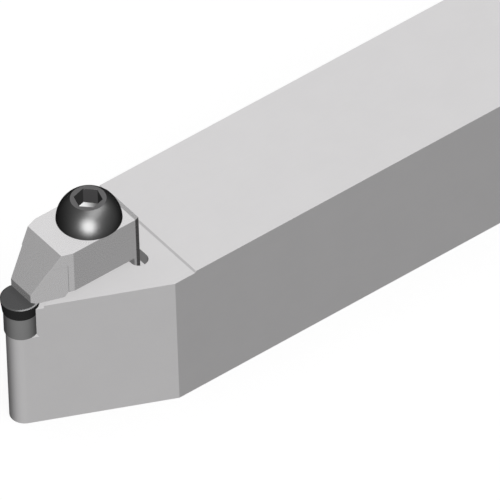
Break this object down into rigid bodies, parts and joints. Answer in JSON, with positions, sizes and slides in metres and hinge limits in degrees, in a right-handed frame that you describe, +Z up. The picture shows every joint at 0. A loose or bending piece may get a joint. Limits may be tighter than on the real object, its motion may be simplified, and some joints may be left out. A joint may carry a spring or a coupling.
{
  "type": "turning tool holder",
  "caption": "Square shank lathe tool holder with a V-shaped head, a small round insert on a shim and a top clamp with a socket screw.",
  "frame": {"origin": "on the base, under the middle of the overall length", "axes": "+X along the shank towards the insert, +Y across the tool, +Z up, out of the top of the insert"},
  "size_m": [0.15, 0.025, 0.0381],
  "materials": {
    "holder_steel": "fine matt plated steel",
    "clamp_steel": "fine matt steel",
    "insert_carbide": "dark ground carbide",
    "shim_carbide": "ground carbide",
    "black_steel": "black oxide",
    "spring_steel": "drawn wire"
  },
  "bodies": {
    "holder": {"holder": "holder_steel", "insert": "insert_carbide", "shim": "shim_carbide", "shim_screw": "black_steel", "clamp_spring": "spring_steel"},
    "clamp": {"clamp": "clamp_steel"},
    "clamp_screw": {"clamp_screw": "black_steel"}
  },
  "joints": [
    {"name": "clamp_lift", "type": "slide", "parent": "holder", "child": "clamp", "axis": [0, 0, 1], "range_m": [0, 0.003], "deforming": ["clamp_spring"]},
    {"name": "screw_turn", "type": "hinge", "parent": "clamp", "child": "clamp_screw", "pos_m": [0.05801, 0, 0.03395], "axis": [0, 0, 1], "range_deg": [0, 1080]}
  ],
  "couplings": [
    {"joint": "screw_turn", "follows": "clamp_lift", "rad_per_m": 6283.2}
  ]
}
